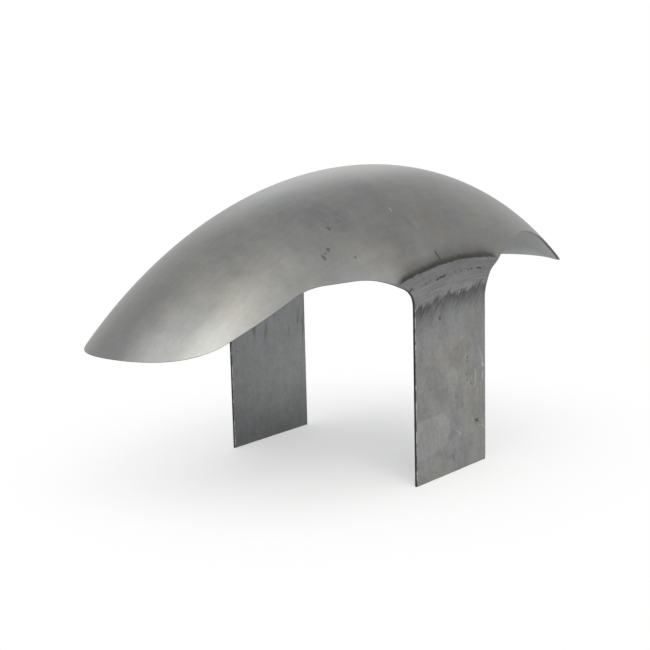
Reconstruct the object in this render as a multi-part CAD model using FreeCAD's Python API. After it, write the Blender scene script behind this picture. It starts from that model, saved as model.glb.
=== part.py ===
import FreeCAD
import Part

import math
import os

Vector = FreeCAD.Vector

# Motorcycle front fender, pressed from one piece of steel sheet: a half-round shell bent round the
# wheel, with a plain leg on each side that goes to the fork. Millimetres, +X to the broad low end,
# +Y to one side, +Z up. The origin is on the floor, under the middle of the fender's length.

# Sheet
sheetThickness = 2.0

# Legs: flat plates, and the flared shoulder that carries each one out from the shell
legSpan = 160.6
legWidth = 78.8
shoulderRadius = 27.0
shoulderAngle = 40.4

# Shell: an arch of three arcs in section, swept round the wheel's axle down to a crease over each leg
crownRadius = 326.7
crownHeight = 198.2
axleX = -6.7
archRadius = 68.4
archAngle = 36.7
creaseDrop = 59.9
creaseRadius = 280.0
creaseX = -18.0

# Side outline: each turn's drop below the crown, its run along from the leg's edge, and its radius,
# and how steeply the front lip ends
frontCornerDrop = 73.4
frontCornerRadius = 12.0
frontRimDrop = 61.4
frontSweepRun = 24.1
frontSweepRadius = 122.7
frontFallRun = 78.1
frontFallRadius = 65.0
frontLipDrop = 99.4
frontLipRun = 172.6
frontLipRadius = 90.0
frontLipAngle = 22.0
rearCornerDrop = 72.7
rearCornerRadius = 19.6
rearPeakDrop = 48.9
rearPeakRun = 79.4
rearPeakRadius = 107.4
rearFallDrop = 64.9
rearFallRun = 133.4
rearFallRadius = 85.0
rearLipDrop = 86.4
rearLipRun = 166.7
rearLipRadius = 30.0

# How far the construction solids overlap, or run past what they cut
overlap = 7.0
margin = 30.0
sweepHalfAngle = 60.0
legZoneReach = 55.4

shoulderTurn = math.radians(shoulderAngle)
halfLeg = legWidth / 2
legOuterY = legSpan / 2
creaseY = legOuterY - shoulderRadius * (1 - math.cos(shoulderTurn))
creaseHeight = crownHeight - creaseDrop
axleZ = crownHeight - crownRadius
creaseAxisZ = creaseHeight - creaseRadius
# Each flank of the arch starts where the crown's arc ends, in line with it, and comes down to the crease
archTurn = math.radians(archAngle)
archOut = Vector(0, math.sin(archTurn), math.cos(archTurn))
archCentre = Vector(axleX, 0, crownHeight - archRadius)
flankReach = Vector(axleX, creaseY, creaseHeight) - archCentre - archOut * archRadius
flankRadius = flankReach.Length ** 2 / (-2 * flankReach.dot(archOut))
flankCentre = archCentre + archOut * (archRadius - flankRadius)


def sweepAbout(face, axisX, axisZ):
    # Turns a section that lies across the fender round an axis that runs along Y
    pivot = Vector(axisX, 0, axisZ)
    start = face.copy()
    start.rotate(pivot, Vector(0, 1, 0), -sweepHalfAngle)
    return start.revolve(pivot, Vector(0, 1, 0), 2 * sweepHalfAngle)


def arcFromTop(centre, radius, start, end):
    # An arc across the fender, its angles measured from straight up
    angles = (start, (start + end) / 2, end)
    return Part.Arc(*[centre + Vector(0, math.sin(a), math.cos(a)) * radius for a in angles]).toShape()


def shellBody(inset, overrun):
    # The space under the shell's skin, filled: the arch, closed across its foot and swept round the axle
    crown = arcFromTop(archCentre, archRadius - inset, -archTurn, archTurn)
    footTurn = math.acos((creaseHeight - overrun - flankCentre.z) / (flankRadius - inset))
    flank = arcFromTop(flankCentre, flankRadius - inset, archTurn, footTurn)
    otherFlank = flank.mirror(Vector(), Vector(0, 1, 0))
    foot = Part.makeLine(flank.lastVertex().Point, otherFlank.lastVertex().Point)
    section = Part.Face(Part.Wire(Part.__sortEdges__([crown, flank, otherFlank, foot])))
    return sweepAbout(section, axleX, axleZ)


def legBody(inset):
    # The space between the two legs' skins, filled: straight up each leg, round its shoulder to the
    # crease, and on at the same slant to a flat top inside the shell
    outerY = legOuterY - inset
    bendY = legOuterY - shoulderRadius
    bendZ = creaseHeight - shoulderRadius * math.sin(shoulderTurn)
    radius = shoulderRadius - inset

    def onShoulder(angle):
        return Vector(creaseX, bendY + radius * math.cos(angle), bendZ + radius * math.sin(angle))

    foot = Vector(creaseX, outerY, -margin)
    crease = onShoulder(shoulderTurn)
    top = crease + Vector(0, -math.sin(shoulderTurn), math.cos(shoulderTurn)) * margin
    side = [Part.makeLine(foot, onShoulder(0)),
            Part.Arc(onShoulder(0), onShoulder(shoulderTurn / 2), crease).toShape(),
            Part.makeLine(crease, top)]
    otherSide = [edge.mirror(Vector(), Vector(0, 1, 0)) for edge in side]
    ends = [Part.makeLine(point, Vector(creaseX, -point.y, point.z)) for point in (foot, top)]
    section = Part.Face(Part.Wire(Part.__sortEdges__(side + otherSide + ends)))
    reach = halfLeg + legZoneReach
    zone = Part.makeBox(2 * reach, legSpan + 2 * margin, crownHeight + 2 * margin,
                        Vector(-reach, -legOuterY - margin, -margin))
    return sweepAbout(section, creaseX, creaseAxisZ).common(zone)


def roundedFace(corners):
    # A flat face in the side view: straight runs between corners of (x, z, radius). A radius that its
    # runs have no room for is drawn in to fit.
    points = [Vector(x, 0, z) for x, z, radius in corners]
    count = len(points)
    backs = [(points[i - 1] - points[i]).normalize() for i in range(count)]
    aheads = [(points[(i + 1) % count] - points[i]).normalize() for i in range(count)]
    halves = [backs[i].getAngle(aheads[i]) / 2 for i in range(count)]
    reaches = [corners[i][2] / math.tan(halves[i]) for i in range(count)]

    def room(i, j):
        return (points[j] - points[i]).Length / max(reaches[i] + reaches[j], (points[j] - points[i]).Length)

    fits = [min(room(i, i - 1), room(i, (i + 1) % count)) for i in range(count)]
    starts = [points[i] + backs[i] * reaches[i] * fits[i] for i in range(count)]
    ends = [points[i] + aheads[i] * reaches[i] * fits[i] for i in range(count)]
    edges = []
    for i, (x, z, radius) in enumerate(corners):
        if radius:
            inward = (backs[i] + aheads[i]).normalize()
            middle = points[i] + inward * radius * fits[i] * (1 / math.sin(halves[i]) - 1)
            edges.append(Part.Arc(starts[i], middle, ends[i]).toShape())
        following = starts[(i + 1) % count]
        if (following - ends[i]).Length > Part.Precision.confusion():
            edges.append(Part.makeLine(ends[i], following))
    return Part.Face(Part.Wire(Part.__sortEdges__(edges)))


def sideOutline():
    # Everything the fender keeps, seen from the side: two arched rims, and the legs between them
    endX = crownRadius + margin

    def front(run, drop, radius=0):
        return (halfLeg + run, crownHeight - drop, radius)

    def rear(run, drop, radius=0):
        return (-halfLeg - run, crownHeight - drop, radius)

    # Past its last turn the front lip slants up a little to the tip
    lipRise = (endX - halfLeg - frontLipRun) * math.tan(math.radians(frontLipAngle))
    corners = [
        (endX, crownHeight - frontLipDrop + lipRise, 0),
        front(frontLipRun, frontLipDrop, frontLipRadius),
        front(frontFallRun, frontRimDrop, frontFallRadius),
        front(frontSweepRun, frontRimDrop, frontSweepRadius),
        front(0, frontCornerDrop, frontCornerRadius),
        (halfLeg, 0, 0),
        (-halfLeg, 0, 0),
        rear(0, rearCornerDrop, rearCornerRadius),
        rear(rearPeakRun, rearPeakDrop, rearPeakRadius),
        rear(rearFallRun, rearFallDrop, rearFallRadius),
        rear(rearLipRun, rearLipDrop, rearLipRadius),
        (-endX, crownHeight - rearLipDrop, 0),
        (-endX, crownHeight + margin, 0),
        (endX, crownHeight + margin, 0),
    ]
    face = roundedFace(corners)
    face.translate(Vector(0, -legOuterY - margin, 0))
    return face.extrude(Vector(0, legSpan + 2 * margin, 0))


def makeFender():
    outer = shellBody(0, overlap).fuse(legBody(0))
    inner = shellBody(sheetThickness, 2 * overlap).fuse(legBody(sheetThickness))
    fender = outer.cut(inner).common(sideOutline()).removeSplitter()
    box = fender.optimalBoundingBox(True, False)
    fender.translate(Vector(-box.Center.x, 0, 0))
    return fender


os.makedirs("parts", exist_ok=True)
fender = makeFender()
print("fender: solids", len(fender.Solids), "valid", fender.isValid(), "volume", round(fender.Volume))
print(fender.optimalBoundingBox(True, False))
fender.exportStep("parts/fender.step")
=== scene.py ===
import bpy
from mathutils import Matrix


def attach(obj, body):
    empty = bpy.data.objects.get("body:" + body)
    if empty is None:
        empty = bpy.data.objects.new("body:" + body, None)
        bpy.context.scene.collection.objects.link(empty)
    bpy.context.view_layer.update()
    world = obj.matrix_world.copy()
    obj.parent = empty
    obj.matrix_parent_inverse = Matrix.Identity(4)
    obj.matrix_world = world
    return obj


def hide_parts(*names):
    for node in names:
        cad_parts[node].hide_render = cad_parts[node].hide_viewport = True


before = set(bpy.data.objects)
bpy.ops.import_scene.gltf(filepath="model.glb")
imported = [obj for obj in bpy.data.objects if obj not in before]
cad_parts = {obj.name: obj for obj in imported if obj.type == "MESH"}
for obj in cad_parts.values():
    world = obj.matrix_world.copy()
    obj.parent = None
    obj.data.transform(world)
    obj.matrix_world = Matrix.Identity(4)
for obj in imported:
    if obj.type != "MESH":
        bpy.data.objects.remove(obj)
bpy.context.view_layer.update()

import math

import bmesh
import bpy
from mathutils import Matrix, Vector
from mathutils.kdtree import KDTree

scene = bpy.context.scene
scene.view_settings.view_transform = "Standard"
alongY = Vector((0, 1, 0))


# Small wrapper round a shader socket, so that the maths reads as maths
class Wire:
    def __init__(self, tree, socket):
        self.tree = tree
        self.socket = socket

    def node(self, kind, settings=None, out=0, **inputs):
        return addNode(self.tree, kind, settings, out, **inputs)

    def maths(self, operation, a, b=0.0):
        return addNode(self.tree, "ShaderNodeMath", {"operation": operation}, 0, i0=a, i1=b)

    def __add__(self, other):
        return self.maths("ADD", self, other)

    def __radd__(self, other):
        return self.maths("ADD", other, self)

    def __sub__(self, other):
        return self.maths("SUBTRACT", self, other)

    def __rsub__(self, other):
        return self.maths("SUBTRACT", other, self)

    def __mul__(self, other):
        return self.maths("MULTIPLY", self, other)

    def __rmul__(self, other):
        return self.maths("MULTIPLY", other, self)

    def __truediv__(self, other):
        return self.maths("DIVIDE", self, other)

    def __pow__(self, other):
        return self.maths("POWER", self, other)

    def __neg__(self):
        return self.maths("MULTIPLY", self, -1.0)


def addNode(tree, kind, settings=None, out=0, **inputs):
    node = tree.nodes.new(kind)
    for name, value in (settings or {}).items():
        setattr(node, name, value)
    for name, value in inputs.items():
        # i0, i1 and so on are sockets by number, and other words are their names
        key = int(name[1:]) if name[0] == "i" and name[1:].isdigit() else name.replace("_", " ")
        socket = node.inputs[key]
        if isinstance(value, Wire):
            tree.links.new(value.socket, socket)
        else:
            socket.default_value = value
    return node if out is None else Wire(tree, node.outputs[out])


# Fender: millimetres and degrees. Down to the rear outline they are the solid's own sizes
fenderSizes = {
    "sheet": 2.0,
    "legSpan": 160.6,
    "legWidth": 78.8,
    "shoulderRadius": 27.0,
    "shoulderAngle": 40.4,
    "crownRadius": 326.7,
    "crownHeight": 198.2,
    "axleX": -6.7,
    "archRadius": 68.4,
    "archAngle": 36.7,
    "creaseDrop": 59.9,
    "creaseRadius": 280.0,
    "creaseX": -18.0,
    # turns of the outline, from the leg outwards: run from the leg's edge, drop below the crown, radius
    "front": [(0, 73.4, 12.0), (24.1, 61.4, 122.7), (78.1, 61.4, 65.0), (172.6, 99.4, 90.0)],
    "frontLipAngle": 22.0,
    "rear": [(0, 72.7, 19.6), (79.4, 48.9, 107.4), (133.4, 64.9, 85.0), (166.7, 86.4, 30.0)],
    "edgeRounding": 0.36,
    "edgeMerge": 0.72,  # points closer than this along a rim become one
    "edgeDrawIn": 0.81,  # and points this near a rim go onto it
    "edgeSegments": 2,
    "sharpAngle": 12,
    "overlap": 7,  # how far the construction solids overlap, or run past what they cut
    "margin": 30,
    "shellHalfAngle": 60,
    "legHalfAngle": 27,
    "shellSteps": 190,
    "legSteps": 84,
    "crownSegments": 34,
    "flankSegments": 20,
    "shoulderSegments": 12,
    "outlineStep": 3.5,
    "outlineLeast": 8,
    "tinyEdge": 0.01,  # shorter edges are merged away
    "sheetMerge": 0.005,  # and so are points this close, once the sheet is cut
}
millimetre = 0.001
outerSkin, innerSkin, cutEdge, roundedRim = range(4)  # the order of the fender's materials
sizes = fenderSizes
halfLeg = sizes["legWidth"] / 2
legOuterY = sizes["legSpan"] / 2
shoulderTurn = math.radians(sizes["shoulderAngle"])
creaseHeight = sizes["crownHeight"] - sizes["creaseDrop"]
creaseY = legOuterY - sizes["shoulderRadius"] * (1 - math.cos(shoulderTurn))
axle = Vector((sizes["axleX"], 0, sizes["crownHeight"] - sizes["crownRadius"]))
creaseAxis = Vector((sizes["creaseX"], 0, creaseHeight - sizes["creaseRadius"]))
archTurn = math.radians(sizes["archAngle"])
archOut = Vector((0, math.sin(archTurn), math.cos(archTurn)))
archCentre = Vector((axle.x, 0, sizes["crownHeight"] - sizes["archRadius"]))
flankReach = Vector((axle.x, creaseY, creaseHeight)) - archCentre - archOut * sizes["archRadius"]
flankRadius = flankReach.length_squared / (-2 * flankReach.dot(archOut))
flankCentre = archCentre + archOut * (sizes["archRadius"] - flankRadius)


def asObject(bm, name, material=0):
    bmesh.ops.recalc_face_normals(bm, faces=bm.faces)
    for face in bm.faces:
        face.material_index = material
    mesh = bpy.data.meshes.new(name)
    bm.to_mesh(mesh)
    bm.free()
    piece = bpy.data.objects.new(name, mesh)
    scene.collection.objects.link(piece)
    return piece


def spinThrough(bm, centre, halfTurn, steps):
    # turns a section from one side of the upright to the other
    start = Matrix.Rotation(-halfTurn, 3, alongY)
    bmesh.ops.rotate(bm, verts=bm.verts, cent=centre, matrix=start)
    whole = bm.faces[:] + bm.edges[:] + bm.verts[:]
    bmesh.ops.spin(bm, geom=whole, cent=centre, axis=alongY, angle=2 * halfTurn, steps=steps)


def drawOn(bm, vert, step):
    # pulls a new vertex out of the last one
    pulled = bmesh.ops.extrude_vert_indiv(bm, verts=[vert])["verts"][0]
    bmesh.ops.translate(bm, verts=[pulled], vec=step)
    return pulled


def arcOn(bm, vert, centre, axis, angle, steps):
    # draws an arc out of a vertex, and gives its far end
    swept = bmesh.ops.spin(bm, geom=[vert], cent=centre, axis=axis, angle=angle, steps=steps)
    return next(item for item in swept["geom_last"] if isinstance(item, bmesh.types.BMVert))


def shellBody(inset, overrun, material):
    # the space under the shell's skin, filled: an arch of three arcs, swept round the axle
    bm = bmesh.new()
    across = Vector((-1, 0, 0))
    footTurn = math.acos((creaseHeight - overrun - flankCentre.z) / (flankRadius - inset))
    farCentre = Vector((flankCentre.x, -flankCentre.y, flankCentre.z))
    farFoot = Vector((0, -math.sin(footTurn), math.cos(footTurn))) * (flankRadius - inset)
    first = bm.verts.new(farCentre + farFoot)
    last = arcOn(bm, first, farCentre, across, footTurn - archTurn, sizes["flankSegments"])
    last = arcOn(bm, last, archCentre, across, 2 * archTurn, sizes["crownSegments"])
    last = arcOn(bm, last, flankCentre, across, footTurn - archTurn, sizes["flankSegments"])
    bm.edges.new((last, first))
    bmesh.ops.contextual_create(bm, geom=bm.edges[:])
    # the inner body runs out past the outer one's ends
    halfTurn = math.radians(sizes["shellHalfAngle"] + inset)
    spinThrough(bm, axle, halfTurn, sizes["shellSteps"])
    return asObject(bm, "shellBody", material)


def legBody(inset, material):
    # the space between the legs' skins, filled: up each leg and round its shoulder to the crease
    bm = bmesh.new()
    footDrop = sizes["margin"] + inset
    foot = bm.verts.new((creaseAxis.x, legOuterY - inset, -footDrop))
    bendZ = creaseHeight - sizes["shoulderRadius"] * math.sin(shoulderTurn)
    bendCentre = Vector((creaseAxis.x, legOuterY - sizes["shoulderRadius"], bendZ))
    bend = drawOn(bm, foot, (0, 0, bendZ + footDrop))
    crease = arcOn(bm, bend, bendCentre, Vector((1, 0, 0)), shoulderTurn, sizes["shoulderSegments"])
    drawOn(bm, crease, Vector((0, -math.sin(shoulderTurn), math.cos(shoulderTurn))) * sizes["margin"])
    other = bmesh.ops.duplicate(bm, geom=bm.verts[:] + bm.edges[:])["geom"]
    flipped = [item for item in other if isinstance(item, bmesh.types.BMVert)]
    bmesh.ops.scale(bm, verts=flipped, vec=(1, -1, 1))
    ends = [vert for vert in bm.verts if len(vert.link_edges) == 1]
    low = [vert for vert in ends if vert.co.z < 0]
    high = [vert for vert in ends if vert.co.z > 0]
    bm.edges.new(low)
    bm.edges.new(high)
    bmesh.ops.contextual_create(bm, geom=bm.edges[:])
    halfTurn = math.radians(sizes["legHalfAngle"] + inset)
    spinThrough(bm, creaseAxis, halfTurn, sizes["legSteps"])
    return asObject(bm, "legBody", material)


def sideOutline(material):
    # all that the fender keeps, seen from the side: two arched rims, and the legs between them
    top = sizes["crownHeight"]
    over = top + sizes["margin"]
    far = sizes["crownRadius"] + sizes["margin"]
    front = [(halfLeg + run, top - drop, radius) for run, drop, radius in sizes["front"]]
    rear = [(-halfLeg - run, top - drop, radius) for run, drop, radius in sizes["rear"]]
    lipX, lipZ = front[-1][:2]
    lipRise = (far - lipX) * math.tan(math.radians(sizes["frontLipAngle"]))
    corners = [(far, lipZ + lipRise, 0), *reversed(front), (halfLeg, 0, 0), (-halfLeg, 0, 0), *rear,
               (-far, rear[-1][1], 0), (-far, over, 0), (far, over, 0)]
    points = [Vector((x, -legOuterY - sizes["margin"], z)) for x, z, radius in corners]
    count = len(points)
    backs = [(points[i - 1] - points[i]).normalized() for i in range(count)]
    aheads = [(points[(i + 1) % count] - points[i]).normalized() for i in range(count)]
    halves = [backs[i].angle(aheads[i]) / 2 for i in range(count)]
    reaches = [corners[i][2] / math.tan(halves[i]) for i in range(count)]

    def room(i, j):
        run = (points[j] - points[i]).length
        return run / max(reaches[i] + reaches[j], run)

    bm = bmesh.new()
    last = first = bm.verts.new(points[0])
    for i in range(1, count):
        fit = min(room(i, i - 1), room(i, (i + 1) % count))  # draws in a radius that has no room
        radius = corners[i][2] * fit
        last = drawOn(bm, last, points[i] + backs[i] * reaches[i] * fit - last.co)
        if radius:
            centre = points[i] + (backs[i] + aheads[i]).normalized() * (radius / math.sin(halves[i]))
            turn = math.pi - 2 * halves[i]
            sign = 1 if backs[i].cross(aheads[i]).y < 0 else -1
            steps = max(sizes["outlineLeast"], round(radius * turn / sizes["outlineStep"]))
            last = arcOn(bm, last, centre, alongY, sign * turn, steps)
    bm.edges.new((last, first))
    bmesh.ops.remove_doubles(bm, verts=bm.verts, dist=sizes["tinyEdge"])
    face = bmesh.ops.contextual_create(bm, geom=bm.edges[:])["faces"]
    pushed = bmesh.ops.extrude_face_region(bm, geom=face)["geom"]
    verts = [item for item in pushed if isinstance(item, bmesh.types.BMVert)]
    bmesh.ops.translate(bm, verts=verts, vec=(0, sizes["legSpan"] + 2 * sizes["margin"], 0))
    return asObject(bm, "sideOutline", material)


def combine(piece, tool, operation):
    # each cut face keeps the material of the body that it came from
    step = piece.modifiers.new(operation, "BOOLEAN")
    step.operation = operation
    step.object = tool
    step.solver = "EXACT"
    step.material_mode = "INDEX"
    depsgraph = bpy.context.evaluated_depsgraph_get()
    mesh = bpy.data.meshes.new_from_object(piece.evaluated_get(depsgraph))
    piece.modifiers.clear()
    piece.data = mesh
    bpy.data.objects.remove(tool)
    return piece


def roundEdges(bm):
    # takes the sharpness off where the skins meet the cut edges
    def isRim(edge):
        kinds = {face.material_index for face in edge.link_faces}
        return cutEdge in kinds and len(kinds) == 2

    def vertsOnRim():
        return [vert for vert in bm.verts if any(isRim(edge) for edge in vert.link_edges)]

    bmesh.ops.remove_doubles(bm, verts=vertsOnRim(), dist=sizes["edgeMerge"])
    rimVerts = vertsOnRim()
    onRim = set(rimVerts)
    tree = KDTree(len(rimVerts))
    for i, vert in enumerate(rimVerts):
        tree.insert(vert.co, i)
    tree.balance()
    near = {}
    for vert in bm.verts:
        if vert not in onRim:
            index, distance = tree.find(vert.co)[1:]
            if distance < sizes["edgeDrawIn"]:
                near[vert] = rimVerts[index]
    bmesh.ops.weld_verts(bm, targetmap=near)
    bmesh.ops.dissolve_degenerate(bm, dist=sizes["tinyEdge"], edges=bm.edges)
    rim = [edge for edge in bm.edges if isRim(edge)]
    rounded = bmesh.ops.bevel(bm, geom=rim, offset=sizes["edgeRounding"], offset_type="OFFSET",
                              affect="EDGES", segments=sizes["edgeSegments"], profile=0.5, material=-1,
                              loop_slide=False)
    for face in rounded["faces"]:
        face.material_index = roundedRim
    print("edges:", len(rim), "rim edges rounded,", len(near), "close points drawn in")


def makeFender():
    thickness, overlap = sizes["sheet"], sizes["overlap"]
    outer = combine(shellBody(0, overlap, outerSkin), legBody(0, outerSkin), "UNION")
    inner = combine(shellBody(thickness, 2 * overlap, innerSkin), legBody(thickness, innerSkin), "UNION")
    sheet = combine(outer, inner, "DIFFERENCE")
    fender = combine(sheet, sideOutline(cutEdge), "INTERSECT")
    fender.name = "fender_sheet"
    bm = bmesh.new()
    bm.from_mesh(fender.data)
    bmesh.ops.remove_doubles(bm, verts=bm.verts, dist=sizes["sheetMerge"])
    spanX = [vert.co.x for vert in bm.verts]
    legCentre = -(min(spanX) + max(spanX)) / 2
    roundEdges(bm)
    print("fender: open or doubled edges", sum(not edge.is_manifold for edge in bm.edges))
    bmesh.ops.translate(bm, verts=bm.verts, vec=(legCentre, 0, 0))
    bmesh.ops.scale(bm, verts=bm.verts, vec=(millimetre,) * 3)
    for face in bm.faces:
        face.smooth = True
    bm.to_mesh(fender.data)
    bm.free()
    fender.data.set_sharp_from_angle(angle=math.radians(sizes["sharpAngle"]))
    print("fender:", len(fender.data.polygons), "faces, leg centre", round(legCentre, 3))
    return fender, legCentre * millimetre


fender, legCentre = makeFender()


# Finish: bare cold-rolled sheet. Places are in millimetres from the middle of the legs
steelSizes = {
    "cool": (0.264, 0.269, 0.267, 1),
    "warm": (0.276, 0.273, 0.260, 1),
    "inside": (0.239, 0.246, 0.248, 1),
    # the next is the colour of the crease's grime and the painted shade over it
    "shadeAndGrimeColour": (0.036, 0.032, 0.023, 1),
    "edge": (0.060, 0.060, 0.058, 1),
    "rounded": (0.13, 0.13, 0.125, 1),
    # the next is the painted highlight and wear on the legs' rounded rims
    "edgeHighlightAndWear": (0.46, 0.46, 0.45, 1),
    "roughness": 0.42,
    "insideRoughness": 0.47,
    "grain": 0.18,
    "waviness": 0.30,
    "shadeAndGrimeHeight": 12.5,
    "bendLine": -18.5,  # this and the next are measured up from the crease
    "pitLine": -6.6,
    "creaseBand": (73.5, 74.3),  # how far out the finish changes at the crease, and at the cut edges
    "insideCreaseBand": (71.5, 72.3),
    "legEdgeBand": (74.5, 76),
    "shell": {"cloud": 0.40, "mottle": 0.34, "rolled": 0.20, "hairs": 0.05, "lowFrontHighlight": 0.22, "smudge": 0.12},
    "shoulder": {"base": 0.88, "lines": 0.8, "mottle": 0.3, "pits": 0.5, "specks": 0.22, "hairs": 0.2,
                 "strokes": 0.14},
    "leg": {"base": 0.88, "stain": 0.09, "mottle": 0.42, "dragged": 0.18, "fine": 0.46, "under": 0.50,
            "darkSpecks": 0.35, "paleSpecks": 0.22, "darkHairs": 0.14, "paleHairs": 0.12, "edgeHighlightAndWear": 0.35},
    "insideSkin": {"cloud": 0.42, "mottle": 0.46, "leg": 0.01, "dragged": 0.18, "fine": 0.4, "drips": 0.34,
                   "foot": 0.36, "hairs": 0.10, "rearEnd": 0.5, "specks": 0.35},
    "smudgePlace": (73, 173.5),
    # pits: x, z and size
    "flankPits": [(81, 167, 1.5), (91, 156, 1.6), (97, 152, 1.9), (94, 154, 1.0), (75, 150, 1.2)],
    "flankPitDark": 0.45,
    "legPits": [(33, 85, 1.1), (33, 81, 1.2), (-18, 74, 1.2), (-18, 71, 1.0), (-17, 63, 1.0), (-17, 59, 1.3),
                (-22, 56, 1.1), (13, 105, 2.0), (-6, 50, 1.0), (-4, 50, 0.9)],
    "legPitDark": 0.42,
    # pale patches on the leg: start, end, width, how much of the width is even, and brightness added
    "patches": [((44, 29), (15, 30), 14, 0.8, 0.15), ((-1, 64), (-1, 60), 8, 0.6, 0.12)],
    # scratches: start, end, width and brightness
    "scratches": [((19, 169), (13, 159), 0.6, 0.80), ((25.4, 174.2), (24.8, 173.7), 0.9, 1.7),
                  ((4.5, 145.5), (1, 140), 1.0, 0.42), ((-27.4, 64), (-27.4, 53.4), 1.5, 1.32),
                  ((-32.3, 77), (-36.5, 68), 1.0, 1.3), ((-36.5, 61), (-36, 56), 0.9, 1.6),
                  ((-35.5, 67), (-36.5, 65), 1.2, 1.7), ((-31, 56), (-27.4, 35), 0.5, 1.25),
                  ((-5.7, 27), (-9.9, 24), 0.6, 1.45), ((-32, 26), (-38, 23), 0.7, 1.3),
                  ((-1.4, 12), (-1.4, 7.5), 0.7, 0.6), ((-26.8, 30.4), (-30.4, 28.2), 0.8, 0.3),
                  ((-27.0, 27.8), (-30.0, 30.6), 0.8, 0.3)],
}


def ease(value, low, high):
    return value.node("ShaderNodeMapRange", {"interpolation_type": "SMOOTHSTEP"}, Value=value,
                      From_Min=low, From_Max=high)


def between(value, low, high, soft):
    return ease(value, low - soft, low + soft) * (1 - ease(value, high - soft, high + soft))


def swing(noise, amount):
    # a noise, made to go up and down about zero
    return (noise - 0.5) * amount


def colourMix(amount, first, second, mode="MIX"):
    wire = next(item for item in (amount, first, second) if isinstance(item, Wire))
    settings = {"data_type": "RGBA", "blend_type": mode}
    return wire.node("ShaderNodeMix", settings, 2, i0=amount, i6=first, i7=second)


class Skin:
    # where a point is on the sheet: along and across it, and how far over the crease
    def __init__(self, tree):
        self.tree = tree
        metres = addNode(tree, "ShaderNodeTexCoord", out="Object")
        millimetres = addNode(tree, "ShaderNodeVectorMath", {"operation": "SCALE"}, i0=metres,
                              Scale=1 / millimetre)
        self.place = addNode(tree, "ShaderNodeVectorMath", {"operation": "SUBTRACT"}, i0=millimetres,
                             i1=(legCentre / millimetre, 0, 0))
        parts = addNode(tree, "ShaderNodeSeparateXYZ", out=None, Vector=self.place)
        self.x, self.y, self.z = [Wire(tree, socket) for socket in parts.outputs]
        self.side = self.y.maths("ABSOLUTE", self.y)
        self.lift = self.fromAxis(creaseAxis) - sizes["creaseRadius"]
        self.along = self.x.maths("ARCTAN2", self.x - axle.x, self.z - axle.z) * sizes["crownRadius"]
        self.near = ease(self.y, -1, 1)
        self.markX = self.x + swing(self.noise(2.1, 2, 31.0), 2.6)  # so that no mark is ruler-straight
        self.markZ = self.z + swing(self.noise(2.1, 2, 33.0), 2.6)

    def fromAxis(self, axis):
        return ((self.x - axis.x) ** 2 + (self.z - axis.z) ** 2) ** 0.5

    def vector(self, x, y, z):
        return addNode(self.tree, "ShaderNodeCombineXYZ", X=x, Y=y, Z=z)

    def noise(self, size, detail, seed, place=None, roughness=0.55):
        return addNode(self.tree, "ShaderNodeTexNoise", {"noise_dimensions": "4D"}, W=seed, Scale=1 / size,
                       Vector=place or self.place, Detail=detail, Roughness=roughness)

    def specks(self, spacing, size, share):
        cells = addNode(self.tree, "ShaderNodeTexVoronoi", out=None, Vector=self.place, Scale=1 / spacing)
        cellColour = Wire(self.tree, cells.outputs["Color"])
        picked = addNode(self.tree, "ShaderNodeSeparateColor", Color=cellColour)
        nearest = Wire(self.tree, cells.outputs["Distance"]) * spacing
        return (1 - ease(nearest, size * 0.4, size)) * ease(picked, 1 - share, 1.02 - share)

    def hairs(self, size, width, seed):
        # thin wandering lines, only here and there
        level = self.noise(size, 2, seed) - 0.5
        line = 1 - ease(level.maths("ABSOLUTE", level), width * 0.3, width)
        return line * ease(self.noise(size * 0.8, 1, seed + 5), 0.50, 0.62)

    def dot(self, x, z, size):
        reach = ((self.markX - x) ** 2 + (self.markZ - z) ** 2) ** 0.5
        return 1 - ease(reach, size * 0.4, size)

    def stroke(self, start, end, width, core=0.35):
        run = Vector(end) - Vector(start)
        part = ((self.markX - start[0]) * run.x + (self.markZ - start[1]) * run.y) / run.length_squared
        part = addNode(self.tree, "ShaderNodeClamp", Value=part)
        offX = self.markX - start[0] - part * run.x
        offZ = self.markZ - start[1] - part * run.y
        return 1 - ease((offX ** 2 + offZ ** 2) ** 0.5, width * core, width)


def steelMaterial(name):
    material = bpy.data.materials.new(name)
    material.use_nodes = True
    tree = material.node_tree
    shader = tree.nodes["Principled BSDF"]
    shader.inputs["Metallic"].default_value = 1.0
    return material, tree, shader


def connect(tree, shader, **wires):
    for name, wire in wires.items():
        tree.links.new(wire.socket, shader.inputs[name.replace("_", " ")])


def raised(height):
    # height in millimetres
    return height.node("ShaderNodeBump", None, "Normal", Height=height, Distance=millimetre, Strength=1.0)


def shellTone(skin, cloud, mottle):
    # soft clouds of film, faint rolling lines, a painted highlight along the low front, and a smudge
    amount = steelSizes["shell"]
    rolled = skin.noise(1, 3, 2.9, skin.vector(skin.along / 60, skin.y / 2.2, skin.z / 6))
    tone = 1 + swing(cloud, amount["cloud"]) + swing(mottle, amount["mottle"])
    tone = tone + swing(rolled, amount["rolled"])
    tone = tone * (1 - skin.hairs(23, 0.011, 41.0) * amount["hairs"])
    depth = sizes["crownRadius"] - skin.fromAxis(axle)
    # painted highlight: lighter low down on the front half of the shell
    lowFrontHighlight = ease(depth, 22, 42) * ease(skin.x, 30, 62)
    tone = tone * (1 + lowFrontHighlight * amount["lowFrontHighlight"])
    slant = skin.vector(skin.x - skin.z, skin.y * 0.3, skin.z * 0.2 + skin.x * 0.2)
    rubbed = skin.noise(2.6, 2, 5.5, slant)
    smudgeX, smudgeZ = steelSizes["smudgePlace"]
    fromSmudge = ((skin.x - smudgeX) ** 2 * 0.6 + (skin.z - smudgeZ) ** 2) ** 0.5
    smudge = (1 - ease(fromSmudge, 1, 13)) * skin.near
    return tone * (1 - smudge * (amount["smudge"] + (rubbed - 0.45) * 0.5))


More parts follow.
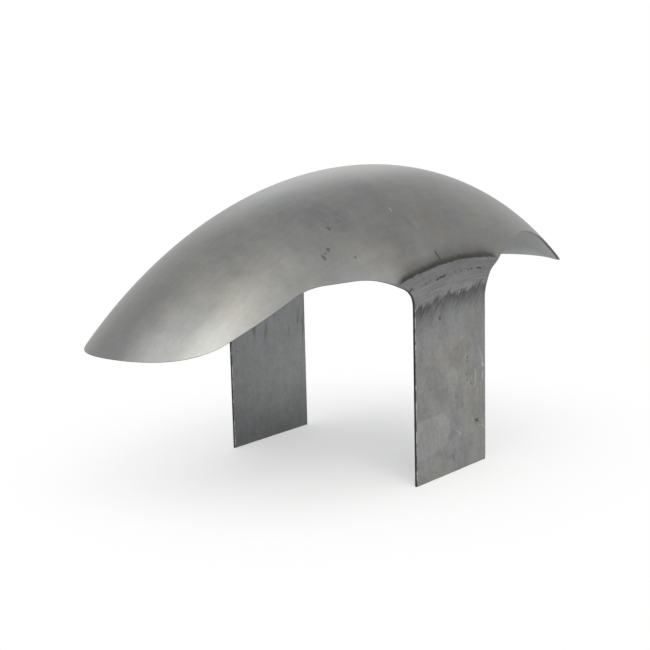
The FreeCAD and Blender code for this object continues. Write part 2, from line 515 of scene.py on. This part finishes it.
def shoulderTone(skin, mottle, lines, pitRow, ragged):
    # ground bright with lines along the crease, with nicks and a broken row of pits
    amount = steelSizes["shoulder"]
    strokes = ease(ragged, 0.42, 0.60) * between(skin.lift, -23, -14, 4)
    nicks = skin.specks(5, 0.8, 0.4) * amount["specks"] + skin.hairs(9, 0.016, 44.0) * amount["hairs"]
    tone = amount["base"] + swing(lines, amount["lines"]) + swing(mottle, amount["mottle"])
    return tone - pitRow * amount["pits"] - nicks - strokes * amount["strokes"]


def legTone(skin, mottle, belowBend):
    # stained in patches, with marks dragged down it, painted shade under the bend, and a painted highlight
    # with wear along the cut edges
    amount = steelSizes["leg"]
    stain = ease(skin.noise(19, 3, 2.2, roughness=0.5), 0.44, 0.56)
    dragged = skin.noise(1, 3, 5.1, skin.vector(skin.x / 2.2, skin.near * 7, skin.z / 24))
    fine = skin.noise(3.2, 4, 5.9, roughness=0.65)
    tone = amount["base"] + stain * amount["stain"] + swing(mottle, amount["mottle"])
    tone = tone + swing(dragged, amount["dragged"]) + swing(fine, amount["fine"])
    for start, end, width, core, brightness in steelSizes["patches"]:
        tone = tone + skin.stroke(start, end, width, core) * skin.near * brightness
    # painted shade under the bend: a broad falloff, and an uneven darker band right under it
    under = 1 - ease(belowBend, -2, 30)
    uneven = ease(skin.noise(12, 1, 7.3, skin.vector(skin.x, skin.near * 20, 0)), 0.36, 0.62)
    shadow = (1 - ease(belowBend, 0, 8)) * (0.12 + uneven * 0.16)
    tone = tone * (1 - under ** 2 * amount["under"] - shadow)
    tone = tone * (1 - skin.specks(8, 0.9, 0.35) * amount["darkSpecks"])
    tone = tone * (1 + skin.specks(11, 0.9, 0.30) * amount["paleSpecks"])
    tone = tone * (1 - skin.hairs(15, 0.012, 47.0) * amount["darkHairs"])
    tone = tone * (1 + skin.hairs(12, 0.012, 53.0) * amount["paleHairs"])
    # painted highlight, with some wear, along the leg's cut edges
    across = skin.x.maths("ABSOLUTE", skin.x)
    edgeHighlightAndWear = ease(across, halfLeg - 1.1, halfLeg - 0.4) * ease(skin.noise(6, 2, 9.9), 0.36, 0.6)
    return tone * (1 + edgeHighlightAndWear * amount["edgeHighlightAndWear"])


def withMarks(skin, tone, onLeg):
    # pits and scratches, each at its own place on the near side
    onShell = 1 - onLeg
    for x, z, size in steelSizes["flankPits"]:
        tone = tone * (1 - skin.dot(x, z, size) * onShell * skin.near * steelSizes["flankPitDark"])
    for x, z, size in steelSizes["legPits"]:
        tone = tone * (1 - skin.dot(x, z, size) * onLeg * skin.near * steelSizes["legPitDark"])
    for start, end, width, brightness in steelSizes["scratches"]:
        tone = tone * (1 + skin.stroke(start, end, width) * skin.near * (brightness - 1))
    return tone


def creaseShadeAndGrime(skin, mottle):
    # dark grime in the crease with painted shade over it, thinning up the shell
    height = steelSizes["shadeAndGrimeHeight"] + swing(skin.noise(16, 3, 3.8), 12)
    seam = skin.lift + swing(skin.noise(3.5, 2, 6.3), 2.2)
    core = (1 - ease(seam, 0.5, 4.5)) * between(skin.x, -62, 46, 4)
    shadeAndGrime = (1 - ease(skin.lift / height, -0.3, 1)) * between(skin.x, -57, 44, 10) * 0.78
    shadeAndGrime = (shadeAndGrime + core * (0.9 - shadeAndGrime)) * ease(seam, -0.9, 0.1)
    shadeAndGrime = shadeAndGrime * ease(skin.side, 60, 68) * (1 + swing(mottle, 0.5))
    return addNode(skin.tree, "ShaderNodeClamp", Value=shadeAndGrime)


def outerSteel():
    material, tree, shader = steelMaterial("bareSteelOuter")
    skin = Skin(tree)
    cloud = skin.noise(52, 3, 3.1)
    mottle = skin.noise(9, 5, 4.1, roughness=0.62)
    grain = skin.noise(1.3, 2, 7.7)
    onLeg = ease(skin.side, *steelSizes["creaseBand"])

    # the bend shows as a ragged line, and the shoulder over it is ground
    lines = skin.noise(1, 3, 8.2, skin.vector(skin.x / 26, skin.lift / 0.75, skin.near * 9))
    slant = skin.vector((skin.x + skin.lift) / 1.5, (skin.x - skin.lift) / 16, skin.near * 5)
    ragged = skin.noise(1, 2, 3.3, slant)
    sag = skin.noise(14, 1, 6.1, skin.vector(skin.x, skin.near * 40, 0))
    bend = steelSizes["bendLine"] + swing(ragged, 17) + swing(sag, 7)
    ground = onLeg * ease(skin.lift - bend, -1.0, 1.4)
    wander = skin.noise(11, 2, 9.4, skin.vector(skin.x, skin.near * 30, 0))
    fromPits = skin.lift - steelSizes["pitLine"] + swing(wander, 7)
    broken = ease(skin.noise(5, 2, 1.9, skin.vector(skin.x, skin.near * 20, 0)), 0.46, 0.56)
    pitRow = (1 - ease(fromPits.maths("ABSOLUTE", fromPits), 0.25, 0.95)) * broken

    shell = shellTone(skin, cloud, mottle)
    leg = legTone(skin, mottle, bend - skin.lift)
    shoulder = shoulderTone(skin, mottle, lines, pitRow, ragged)
    tone = shell + onLeg * (leg - shell) + ground * (shoulder - leg) + swing(grain, steelSizes["grain"])
    tone = tone * (1 - skin.specks(21, 0.8, 0.30) * 0.30)
    tone = withMarks(skin, tone, onLeg)
    shadeAndGrime = creaseShadeAndGrime(skin, mottle)

    tint = ease(skin.noise(34, 2, 6.6), 0.36, 0.64)
    colour = colourMix(tint * (1 - ground), steelSizes["cool"], steelSizes["warm"])
    colour = colourMix(1.0, colour, tone, "MULTIPLY")
    # painted shade and dark grime along the crease
    colour = colourMix(shadeAndGrime * 0.92, colour, steelSizes["shadeAndGrimeColour"])
    rough = steelSizes["roughness"] + swing(mottle, 0.10) + swing(cloud, 0.06) + shadeAndGrime * 0.12 + onLeg * 0.03
    rough = rough + ground * swing(lines, 0.12)
    wave = skin.noise(30, 1, 4.9) * steelSizes["waviness"] + mottle * 0.02 + grain * 0.006
    wave = wave + ground * (lines * 0.05 - pitRow * 0.08)
    connect(tree, shader, Base_Color=colour, Roughness=rough, Normal=raised(wave))
    return material


def innerSteel():
    material, tree, shader = steelMaterial("bareSteelInner")
    skin = Skin(tree)
    amount = steelSizes["insideSkin"]
    cloud = skin.noise(40, 3, 11.3)
    mottle = skin.noise(8, 5, 14.1, roughness=0.62)
    grain = skin.noise(1.3, 2, 17.7)
    fine = skin.noise(3.2, 4, 15.9, roughness=0.65)
    dragged = skin.noise(1, 3, 15.1, skin.vector(skin.x / 2.4, skin.near * 7, skin.z / 34))
    drips = skin.noise(1, 2, 12.6, skin.vector(skin.x / 4.2, skin.near * 5, skin.z / 30))
    dripped = ease(drips, 0.56, 0.66) * between(skin.z, 74, 118, 7)
    # darker towards the foot: partly dirt, partly painted shade from the floor
    foot = 1 - ease(skin.z, -4, 46)
    onLeg = ease(skin.side, *steelSizes["insideCreaseBand"])
    legChange = swing(dragged, amount["dragged"]) + swing(fine, amount["fine"]) + amount["leg"]
    legChange = legChange - dripped * amount["drips"] - foot * amount["foot"]
    tone = 1 + swing(cloud, amount["cloud"]) + swing(mottle, amount["mottle"])
    tone = (tone + swing(grain, steelSizes["grain"])) * (1 + onLeg * legChange)
    tone = tone * (1 - skin.hairs(14, 0.012, 61.0) * amount["hairs"])
    tone = tone * (1 + ease(-skin.x, 213, 229) * amount["rearEnd"])
    tone = tone * (1 - skin.specks(12, 1.0, 0.35) * amount["specks"])
    colour = colourMix(1.0, steelSizes["inside"], tone, "MULTIPLY")
    rough = steelSizes["insideRoughness"] + swing(mottle, 0.12) + swing(cloud, 0.08)
    wave = skin.noise(30, 1, 14.9) * steelSizes["waviness"] + mottle * 0.02 + grain * 0.006
    connect(tree, shader, Base_Color=colour, Roughness=rough, Normal=raised(wave))
    return material


def cutSteel():
    material, tree, shader = steelMaterial("bareSteelCut")
    skin = Skin(tree)
    onLeg = ease(skin.side, *steelSizes["legEdgeBand"])
    burr = skin.noise(1, 3, 21.1, skin.vector(skin.along / 5, skin.y / 0.7, skin.z / 2.5))
    tone = (1.7 - onLeg * 0.9) * (0.55 + burr * 0.9)
    colour = colourMix(1.0, steelSizes["edge"], tone, "MULTIPLY")
    connect(tree, shader, Base_Color=colour, Roughness=0.40 + burr * 0.25, Normal=raised(burr * 0.03))
    return material


def roundedSteel():
    material, tree, shader = steelMaterial("bareSteelRounded")
    skin = Skin(tree)
    onLeg = ease(skin.side, *steelSizes["legEdgeBand"])
    edgeHighlightAndWear = ease(skin.noise(7, 3, 25.1), 0.40, 0.62)
    # the legs' rounded rims: a painted highlight with wear, in patches
    colour = colourMix(edgeHighlightAndWear * onLeg, steelSizes["rounded"], steelSizes["edgeHighlightAndWear"])
    colour = colourMix(1.0, colour, 0.8 + skin.noise(2, 2, 27.1) * 0.4, "MULTIPLY")
    connect(tree, shader, Base_Color=colour, Roughness=0.34 + edgeHighlightAndWear * 0.08)
    return material


for steel in (outerSteel(), innerSteel(), cutSteel(), roundedSteel()):
    fender.data.materials.append(steel)
print("finish: bare steel on the outer skin, the inner skin, the cut edges and the rounded rims")
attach(fender, "root")
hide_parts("fender")

# Floor: pale. It keeps the fender's soft shadow near it and turns to plain white further out
floorSizes = {"size": 14.0, "colour": (0.92, 0.93, 0.94, 1), "glowNear": 0.45, "near": 0.03, "far": 0.29}
bm = bmesh.new()
bmesh.ops.create_grid(bm, x_segments=1, y_segments=1, size=floorSizes["size"])
floor = asObject(bm, "floor")
floorPaint = bpy.data.materials.new("paleFloor")
floorPaint.use_nodes = True
tree = floorPaint.node_tree
tree.nodes.clear()
matt = addNode(tree, "ShaderNodeBsdfDiffuse", Color=floorSizes["colour"])
white = addNode(tree, "ShaderNodeEmission", Color=(1, 1, 1, 1), Strength=1.0)
seen = addNode(tree, "ShaderNodeLightPath") + addNode(tree, "ShaderNodeLightPath", out="Is Glossy Ray")
seen = seen + addNode(tree, "ShaderNodeLightPath", out="Is Transmission Ray")
spread = addNode(tree, "ShaderNodeVectorMath", {"operation": "LENGTH"}, "Value",
                 i0=addNode(tree, "ShaderNodeTexCoord", out="Object"))
away = ease(spread, floorSizes["near"], floorSizes["far"])
glow = floorSizes["glowNear"] + away * (1 - floorSizes["glowNear"])
shade = addNode(tree, "ShaderNodeMixShader", Fac=seen * glow, i1=matt, i2=white)
addNode(tree, "ShaderNodeOutputMaterial", out=None, Surface=shade)
floor.data.materials.append(floorPaint)
print("floor: in place")

# Camera: stands to the near front side, a little above the crown
cameraSizes = {
    "place": (0.699662, 0.561563, 0.258203),
    "yaw": -2.44327,
    "pitch": 0.1845,
    "roll": -0.02523,
    "lens": 74.19589,
    "sensor": 36,
}
yaw, pitch, roll = cameraSizes["yaw"], cameraSizes["pitch"], cameraSizes["roll"]
level = Vector((math.cos(yaw), math.sin(yaw), 0))
look = level * math.cos(pitch) - Vector((0, 0, math.sin(pitch)))
right = look.cross(Vector((0, 0, 1))).normalized()
upward = right.cross(look)
tilted = right * math.cos(roll) + upward * math.sin(roll)
upright = upward * math.cos(roll) - right * math.sin(roll)
cameraData = bpy.data.cameras.new("camera")
cameraData.sensor_width = cameraSizes["sensor"]
cameraData.lens = cameraSizes["lens"]
camera = bpy.data.objects.new("camera", cameraData)
stand = Vector(cameraSizes["place"]) + Vector((legCentre, 0, 0))
turned = Matrix((tilted, upright, -look)).transposed()
camera.matrix_world = Matrix.Translation(stand) @ turned.to_4x4()
scene.collection.objects.link(camera)
scene.camera = camera

# Light: a white backdrop behind the fender, a dimmer room round it, and large soft lamps
lightSizes = {
    "backdrop": 1.0,
    "backdropEdge": (0.50, 0.92),
    "room": 0.70,
    "overhead": 0.64,
    "overheadEdge": (0.45, 1.0),
    "darkSide": (-0.90, 0.28, 0.34),
    "darkSideEdge": (0.80, 0.98),
    "darkSideDrop": 0.10,
    "aim": (0, 0, 0.1),
    # lamps: name, place, size, power and colour
    "lamps": [("keyLamp", (0.50, 0.90, 1.33), 0.80, 8.6, (1.0, 0.97, 0.90)),
              ("fillLamp", (0.97, -0.05, 1.49), 1.1, 5.2, (1.0, 0.99, 0.97)),
              ("sideLamp", (-0.73, 1.44, 0.60), 0.5, 1.3, (1.0, 0.99, 0.97)),
              ("backLamp", (-1.10, -1.00, 1.00), 1.0, 1.6, (0.97, 0.98, 1.0))],
}
world = bpy.data.worlds.new("studio")
scene.world = world
world.use_nodes = True
tree = world.node_tree
tree.nodes.clear()
way = addNode(tree, "ShaderNodeTexCoord", out="Generated")
behind = addNode(tree, "ShaderNodeVectorMath", {"operation": "DOT_PRODUCT"}, "Value",
                 i0=way, i1=level)
rising = addNode(tree, "ShaderNodeSeparateXYZ", out="Z", Vector=way)
backdrop = ease(behind, *lightSizes["backdropEdge"])
above = ease(rising, *lightSizes["overheadEdge"])
strength = lightSizes["room"] + backdrop * (lightSizes["backdrop"] - lightSizes["room"])
strength = strength + above * (lightSizes["overhead"] - strength)
dark = addNode(tree, "ShaderNodeVectorMath", {"operation": "DOT_PRODUCT"}, "Value",
               i0=way, i1=Vector(lightSizes["darkSide"]).normalized())
strength = strength - ease(dark, *lightSizes["darkSideEdge"]) * lightSizes["darkSideDrop"]
onCamera = addNode(tree, "ShaderNodeLightPath")
through = addNode(tree, "ShaderNodeLightPath", out="Is Transmission Ray")
mirrored = addNode(tree, "ShaderNodeLightPath", out="Is Glossy Ray")
white = onCamera + through + mirrored * backdrop
strength = strength + addNode(tree, "ShaderNodeClamp", Value=white) * (1 - strength)
sky = addNode(tree, "ShaderNodeBackground", Color=(1, 1, 1, 1), Strength=strength)
addNode(tree, "ShaderNodeOutputWorld", out=None, Surface=sky)
for name, place, size, power, colour in lightSizes["lamps"]:
    lampData = bpy.data.lights.new(name, "AREA")
    lampData.shape = "DISK"
    lampData.size = size
    lampData.energy = power
    lampData.color = colour
    lamp = bpy.data.objects.new(name, lampData)
    facing = (Vector(lightSizes["aim"]) - Vector(place)).to_track_quat("-Z", "Y")
    lamp.matrix_world = Matrix.Translation(place) @ facing.to_matrix().to_4x4()
    scene.collection.objects.link(lamp)
print("camera and light: in place,", len(lightSizes["lamps"]), "lamps")
